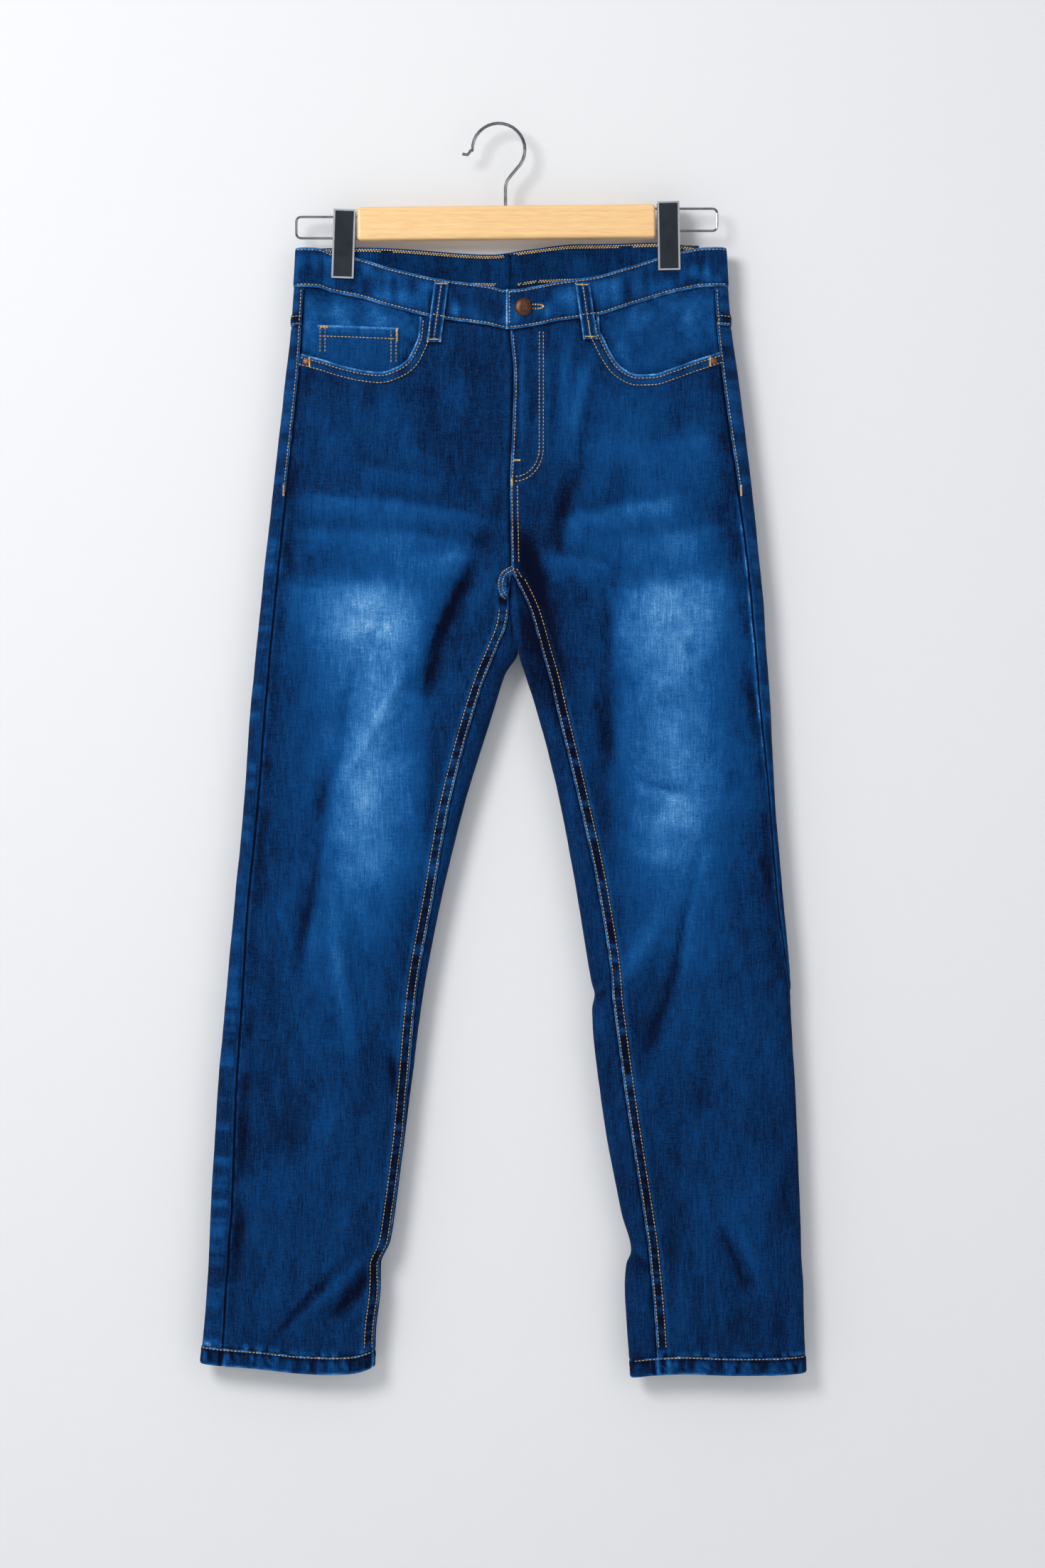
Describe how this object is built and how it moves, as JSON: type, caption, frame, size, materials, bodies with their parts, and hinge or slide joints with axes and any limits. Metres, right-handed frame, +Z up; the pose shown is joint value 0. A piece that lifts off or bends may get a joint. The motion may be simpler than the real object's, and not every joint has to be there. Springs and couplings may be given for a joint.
{
  "type": "slim fit jeans on a clip hanger",
  "caption": "Slim fit denim jeans with a zip fly, curved front pockets, a coin pocket, belt loops and stitched hems, hanging from the clips of a wooden bar hanger.",
  "frame": {"origin": "underside of the hanger hook's top, where a rail holds it", "axes": "+Z up, +X to the right and -Y towards the viewer, seen from the jeans' front"},
  "size_m": [0.5592, 0.0518, 1.1558],
  "materials": {
    "denim": "washed mid-blue stretch denim with faded thighs",
    "denim_inside": "the denim's paler reverse side",
    "copper": "aged copper, satin",
    "zip": "dark zip metal and tape",
    "label": "plain black woven, blank",
    "wood": "pale satin-lacquered beech",
    "chrome": "polished",
    "clip_insert": "black gloss"
  },
  "bodies": {
    "root": {"back_left_hip": "denim", "back_left_shin": "denim", "back_left_thigh": "denim", "back_pocket_left": "denim", "back_pocket_right": "denim", "back_right_hip": "denim", "back_right_shin": "denim", "back_right_thigh": "denim", "belt_loop_back_left": "denim", "belt_loop_back_middle": "denim", "belt_loop_back_right": "denim", "belt_loop_front_left": "denim", "belt_loop_front_right": "denim", "button": "copper", "clip_left_back": "chrome", "clip_left_body": "chrome", "clip_left_front": "chrome", "clip_left_insert": "clip_insert", "clip_right_back": "chrome", "clip_right_body": "chrome", "clip_right_front": "chrome", "clip_right_insert": "clip_insert", "coin_pocket": "denim", "fly_shield": "denim_inside", "front_left_hip": "denim", "front_left_shin": "denim", "front_left_thigh": "denim", "front_right_hip": "denim", "front_right_shin": "denim", "front_right_thigh": "denim", "hanger_bar": "wood", "hem_left": "denim", "hem_right": "denim", "hook": "chrome", "inner_label": "label", "pocket_facing_left": "denim", "pocket_facing_right": "denim", "rail_left": "chrome", "rail_right": "chrome", "rivet_left": "copper", "rivet_right": "copper", "waistband_left": "denim", "waistband_right": "denim", "yoke_left": "denim", "yoke_right": "denim", "zip_slider": "zip", "zip_tape": "zip"}
  },
  "joints": []
}
